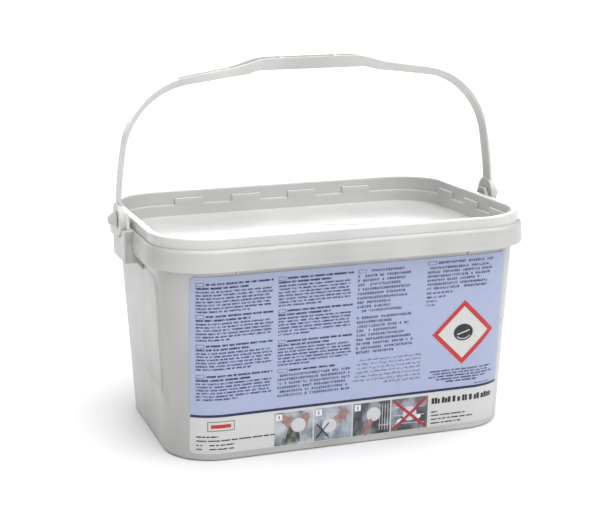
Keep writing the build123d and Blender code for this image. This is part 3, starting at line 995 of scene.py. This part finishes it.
def symbol_mark():
    """Tablet in the symbol, with its score line and a shine along its lower edge."""
    mark = bmesh.new()
    blob(mark, SYMBOL_AT, MARK_RADII, 0, WHITE_FACE, THICK_INK, steps=MARK_STEPS)
    print_piece("symbol_round", mark, "mark_ink", ["symbol_tablet"])
    score = bmesh.new()
    x, z = SYMBOL_AT
    a, b = SCORE_HALF
    line_top = THICK_INK + MARK_LINE_RISE
    stroke(score, (x - a, z - b), (x + a, z + b), SCORE_WIDTH, WHITE_FACE, line_top)
    turns = [math.pi * (SHINE_START + SHINE_STEP * k) for k in range(SHINE_STEPS + 1)]
    arc = [(x + SHINE_RADII[0] * math.cos(t), z + SHINE_RADII[1] * math.sin(t)) for t in turns]
    for start, end in zip(arc, arc[1:]):
        stroke(score, start, end, SHINE_WIDTH, WHITE_FACE, line_top)
    print_piece("symbol_score", score, "score_ink")


def badge():
    """Plain badge low on the left of the label: a grey outline with a red bar."""
    frame_lines = bmesh.new()
    print_frame(frame_lines, *BADGE_BOX, BADGE_LINE, WHITE_FACE)
    print_piece("badge_outline", frame_lines, "grey_ink")
    bar = bmesh.new()
    print_bar(bar, *BADGE_BAR, WHITE_FACE)
    print_piece("badge_bar", bar, "red_ink")


# Camera at the photograph's angle, in metres
CAMERA_YAW = math.radians(18.43)
CAMERA_PITCH = math.radians(12.81)
CAMERA_ROLL = math.radians(-0.67)
CAMERA_PLACE = Vector((-0.32059, -0.93539, 0.33786))
CAMERA_LENS = 83.55
SENSOR_WIDTH = 36


def make_camera():
    """The camera, with the roll and lens of the photograph."""
    data = bpy.data.cameras.new("camera")
    data.lens = CAMERA_LENS
    data.sensor_width = SENSOR_WIDTH
    camera = bpy.data.objects.new("camera", data)
    bpy.context.collection.objects.link(camera)
    back = Vector((-math.sin(CAMERA_YAW) * math.cos(CAMERA_PITCH),
                   -math.cos(CAMERA_YAW) * math.cos(CAMERA_PITCH), math.sin(CAMERA_PITCH)))
    right = (-back).cross(Vector((0, 0, 1))).normalized()
    up = right.cross(-back)
    right, up = (right * math.cos(CAMERA_ROLL) + up * math.sin(CAMERA_ROLL),
                 up * math.cos(CAMERA_ROLL) - right * math.sin(CAMERA_ROLL))
    turn = Matrix((right, up, back)).transposed().to_4x4()
    camera.matrix_world = Matrix.Translation(CAMERA_PLACE) @ turn
    bpy.context.scene.camera = camera


# Floor, surroundings and lights, in metres
FLOOR_HALF = 15
FLOOR_TONE = 0.80
SIDE_RANGE = (0.3, 0.95)
SIDE_STRENGTHS = (0.62, 0.2)
SKY_POWER = 3.1
SKY_WIDTH = math.radians(70)
SKY_TILT = (math.radians(12), math.radians(8), 0)

# Area lights as (name, place, aim, size, power)
KEY_LIGHT = ("key", (0.1, -1.9, 0.9), (0, 0, 0.1), (0.8, 0.8), 6)
BACK_CARD = ("back_card", (0.6, 3.2, 1.0), (0, 0, 0.12), (4.0, 1.4), 46)


def area_light(name, place, aim, size, power):
    """A soft rectangular light that looks at a point."""
    data = bpy.data.lights.new(name, "AREA")
    data.shape = "RECTANGLE"
    data.size, data.size_y = size
    data.energy = power
    light = bpy.data.objects.new(name, data)
    bpy.context.collection.objects.link(light)
    light.location = place
    light.rotation_euler = (Vector(aim) - Vector(place)).to_track_quat("-Z", "Y").to_euler()


def make_floor():
    """Pale paper floor, wide enough to fill the picture."""
    bm = bmesh.new()
    bmesh.ops.create_grid(bm, x_segments=1, y_segments=1, size=FLOOR_HALF)
    floor = mesh_object("floor", bm, scale=1)
    material, nodes = node_material("floor_paper")[:2]
    shader = nodes["Principled BSDF"]
    shader.inputs["Base Color"].default_value = (FLOOR_TONE, FLOOR_TONE, FLOOR_TONE, 1)
    shader.inputs["Roughness"].default_value = 0.9
    shader.inputs["Specular IOR Level"].default_value = 0.1
    floor.data.materials.append(material)


def make_world():
    """White surroundings that darken to the left and the right."""
    world = bpy.data.worlds.new("studio")
    world.use_nodes = True
    nodes, links = world.node_tree.nodes, world.node_tree.links
    nodes["Background"].inputs["Color"].default_value = (1, 1, 1, 1)
    place = nodes.new("ShaderNodeTexCoord")
    split = nodes.new("ShaderNodeSeparateXYZ")
    aside = nodes.new("ShaderNodeMath")
    aside.operation = "ABSOLUTE"
    fade = nodes.new("ShaderNodeMapRange")
    for name, value in zip(("From Min", "From Max", "To Min", "To Max"), SIDE_RANGE + SIDE_STRENGTHS):
        fade.inputs[name].default_value = value
    links.new(place.outputs["Generated"], split.inputs["Vector"])
    links.new(split.outputs["X"], aside.inputs[0])
    links.new(aside.outputs[0], fade.inputs["Value"])
    links.new(fade.outputs["Result"], nodes["Background"].inputs["Strength"])
    bpy.context.scene.world = world
    bpy.context.scene.view_settings.view_transform = "Standard"


def make_lights():
    """A wide soft panel overhead, a small one in front and a card behind that the lid reflects."""
    sky = bpy.data.lights.new("sky_panel", "SUN")
    sky.energy = SKY_POWER
    sky.angle = SKY_WIDTH
    overhead = bpy.data.objects.new("sky_panel", sky)
    overhead.rotation_euler = SKY_TILT
    bpy.context.collection.objects.link(overhead)
    area_light(*KEY_LIGHT)
    area_light(*BACK_CARD)


# Materials
FILM_ROUGHNESS = 0.38
FILM_IOR = 1.5


def add_bump(nodes, links, shader, height, strength, distance):
    """Drive the shader's normal from a height socket."""
    bump = nodes.new("ShaderNodeBump")
    bump.inputs["Strength"].default_value = strength
    bump.inputs["Distance"].default_value = distance
    links.new(height, bump.inputs["Height"])
    links.new(bump.outputs["Normal"], shader.inputs["Normal"])


def noise(nodes, links, scale, detail, stretch=(1, 1, 1)):
    """Noise over the object's own coordinates, stretched along the axes."""
    coordinates = nodes.new("ShaderNodeTexCoord")
    mapping = nodes.new("ShaderNodeMapping")
    mapping.inputs["Scale"].default_value = stretch
    texture = nodes.new("ShaderNodeTexNoise")
    texture.inputs["Scale"].default_value = scale
    texture.inputs["Detail"].default_value = detail
    links.new(coordinates.outputs["Object"], mapping.inputs["Vector"])
    links.new(mapping.outputs["Vector"], texture.inputs["Vector"])
    return texture.outputs["Fac"]


def ramp(nodes, links, source, stops):
    """Colours by the value of a socket; a stop is (place, colour)."""
    colours = nodes.new("ShaderNodeValToRGB")
    elements = colours.color_ramp.elements
    for element, (place, colour) in zip(elements, stops):
        element.position = place
        element.color = (*colour, 1)
    for place, colour in stops[2:]:
        elements.new(place).color = (*colour, 1)
    links.new(source, colours.inputs["Fac"])
    return colours.outputs["Color"]


def moulded_plastic(name, dark, light, roughness):
    """Satin polypropylene: cloudy colour, fine mould grain and a little light inside."""
    material, nodes, links = node_material(name)
    shader = nodes["Principled BSDF"]
    clouds = noise(nodes, links, 14, 2, (1, 1, 0.4))
    links.new(ramp(nodes, links, clouds, [(0.35, dark), (0.65, light)]), shader.inputs["Base Color"])
    shader.inputs["IOR"].default_value = 1.49
    shader.inputs["Subsurface Weight"].default_value = 0.3
    shader.inputs["Subsurface Radius"].default_value = (1.0, 1.0, 1.0)
    shader.inputs["Subsurface Scale"].default_value = 0.004
    rough = nodes.new("ShaderNodeMapRange")
    rough.inputs["To Min"].default_value = roughness - 0.06
    rough.inputs["To Max"].default_value = roughness + 0.06
    links.new(noise(nodes, links, 60, 5), rough.inputs["Value"])
    links.new(rough.outputs["Result"], shader.inputs["Roughness"])
    add_bump(nodes, links, shader, noise(nodes, links, 900, 3), 0.08, 0.0002)
    return material


def printed_film(name, colour, variation=0.008):
    """Printed label film: even ink with a faint mottle and a satin varnish."""
    material, nodes, links = node_material(name)
    shader = nodes["Principled BSDF"]
    low = tuple(max(c - variation, 0) for c in colour)
    high = tuple(min(c + variation, 1) for c in colour)
    mottle = noise(nodes, links, 220, 6)
    links.new(ramp(nodes, links, mottle, [(0.3, low), (0.7, high)]), shader.inputs["Base Color"])
    shader.inputs["Roughness"].default_value = FILM_ROUGHNESS
    shader.inputs["IOR"].default_value = FILM_IOR
    add_bump(nodes, links, shader, noise(nodes, links, 500, 2), 0.05, 0.0001)
    return material


def picture_ground(name, tones, scale=95):
    """Blurred background of a small picture, in three tones."""
    material, nodes, links = node_material(name)
    shader = nodes["Principled BSDF"]
    patches = noise(nodes, links, scale, 3, (1, 1, 0.8))
    stops = [(0.36, tones[0]), (0.5, tones[1]), (0.64, tones[2])]
    links.new(ramp(nodes, links, patches, stops), shader.inputs["Base Color"])
    shader.inputs["Roughness"].default_value = FILM_ROUGHNESS
    return material


def greeked_ink(name, ink, ground, scale):
    """Ink broken up like small letters, between the colours of the ink and of its ground."""
    material, nodes, links = node_material(name)
    shader = nodes["Principled BSDF"]
    marks = noise(nodes, links, scale, 1.5, (1, 1, 0.7))
    links.new(ramp(nodes, links, marks, [(0.53, ink), (0.62, ground)]), shader.inputs["Base Color"])
    shader.inputs["Roughness"].default_value = FILM_ROUGHNESS
    shader.inputs["IOR"].default_value = FILM_IOR
    return material


def pressed_powder():
    """Pressed detergent: pale blue with darker and white grains."""
    material, nodes, links = node_material("pressed_powder")
    shader = nodes["Principled BSDF"]
    grains = noise(nodes, links, 700, 8)
    links.new(ramp(nodes, links, grains, [(0.4, (0.42, 0.55, 0.78)), (0.6, (0.86, 0.88, 0.9))]),
              shader.inputs["Base Color"])
    shader.inputs["Roughness"].default_value = 0.85
    add_bump(nodes, links, shader, grains, 0.5, 0.0005)
    return material


def finish_piece(piece, material, body, replaced=()):
    """Material and body of a piece, and the nodes it stands for."""
    piece.data.materials.clear()
    piece.data.materials.append(material)
    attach(piece, body)
    if replaced:
        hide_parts(*replaced)


def dress(node, material):
    """Give a node its material."""
    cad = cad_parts[node]
    cad.data.materials.clear()
    cad.data.materials.append(material)


# Plastics as (dark tone, light tone, roughness)
PAIL_PLASTIC = ((0.40, 0.405, 0.39), (0.505, 0.51, 0.495), 0.30)
LID_PLASTIC = ((0.52, 0.525, 0.51), (0.59, 0.595, 0.58), 0.2)
HANDLE_PLASTIC = ((0.47, 0.475, 0.455), (0.575, 0.58, 0.56), 0.34)

# Colours of the label's solids and of the pictures' grounds
BLUE = (0.35, 0.395, 0.56)
NAVY = (0.03, 0.04, 0.12)
RED = (0.47, 0.02, 0.017)
FILM_COLOURS = {
    "label_sheet": (0.565, 0.57, 0.56), "label_blue_field": BLUE, "label_rule": BLUE,
    "symbol_frame": RED, "picture_cross": (0.36, 0.02, 0.03),
}
PICTURE_TONES = {
    "picture_1": [(0.10, 0.12, 0.13), (0.30, 0.34, 0.36), (0.46, 0.50, 0.54)],
    "picture_2": [(0.18, 0.20, 0.24), (0.33, 0.36, 0.42), (0.50, 0.52, 0.58)],
    "picture_3": [(0.02, 0.02, 0.025), (0.07, 0.08, 0.09), (0.25, 0.27, 0.30)],
    "picture_4": [(0.04, 0.045, 0.05), (0.12, 0.13, 0.15), (0.32, 0.34, 0.38)],
}
POUCH_TONES = [(0.02, 0.03, 0.02), (0.07, 0.09, 0.07), (0.2, 0.22, 0.2)]
POUCH_SCALE = 260

# Even inks as (colour, how much it varies), and broken inks as (ink, ground, scale)
EVEN_INKS = {
    "solid_print": ((0.015, 0.015, 0.02), 0.005), "skin_ink": ((0.30, 0.17, 0.14), 0.05),
    "pale_ink": ((0.7, 0.7, 0.72),), "black_ink": ((0.02, 0.02, 0.03),), "tablet_ink": ((0.54, 0.55, 0.57),),
    "rule_ink": ((0.01, 0.012, 0.06), 0.005), "field_ink": (BLUE,),
    "mark_ink": ((0.012, 0.012, 0.016), 0.004), "score_ink": ((0.6, 0.6, 0.61),),
    "grey_ink": ((0.2, 0.2, 0.22),), "red_ink": (RED,),
}
BROKEN_INKS = {
    "small_print": (NAVY, BLUE, 1500), "bold_print": ((0.02, 0.02, 0.06), (0.2, 0.24, 0.4), 1100),
    "dark_print": ((0.01, 0.01, 0.015), (0.2, 0.2, 0.21), 1200),
}


def build_mouldings():
    """Pail, lid, bail and the tablets in the pail."""
    white = moulded_plastic("white_plastic", *PAIL_PLASTIC)
    finish_piece(pail_mesh(), white, "pail", ["pail"])
    lid_white = moulded_plastic("lid_plastic", *LID_PLASTIC)
    finish_piece(lid_mesh(), lid_white, "lid", ["lid"])
    handle_white = moulded_plastic("handle_plastic", *HANDLE_PLASTIC)
    finish_piece(bail_mesh(), handle_white, "bail", ["bail_handle"])
    powder = pressed_powder()
    for level in range(4):
        finish_piece(tablet_mesh(level), powder, "pail", [f"tablet_layer_{level + 1}"])


def dress_label():
    """Materials of the label's own solids."""
    for node, colour in FILM_COLOURS.items():
        dress(node, printed_film(node + "_ink", colour))
    for node, tones in PICTURE_TONES.items():
        dress(node, picture_ground(node + "_ground", tones))


def ink_material(name):
    """Material of an ink: even, broken up or in patches."""
    if name == "pouch_ink":
        return picture_ground(name, POUCH_TONES, POUCH_SCALE)
    if name in BROKEN_INKS:
        return greeked_ink(name, *BROKEN_INKS[name])
    return printed_film(name, *EVEN_INKS[name])


make_camera()
make_floor()
make_world()
make_lights()
build_mouldings()
dress_label()
label_text()
label_pictures()
picture_discs()
rule_and_foot()
symbol_mark()
badge()
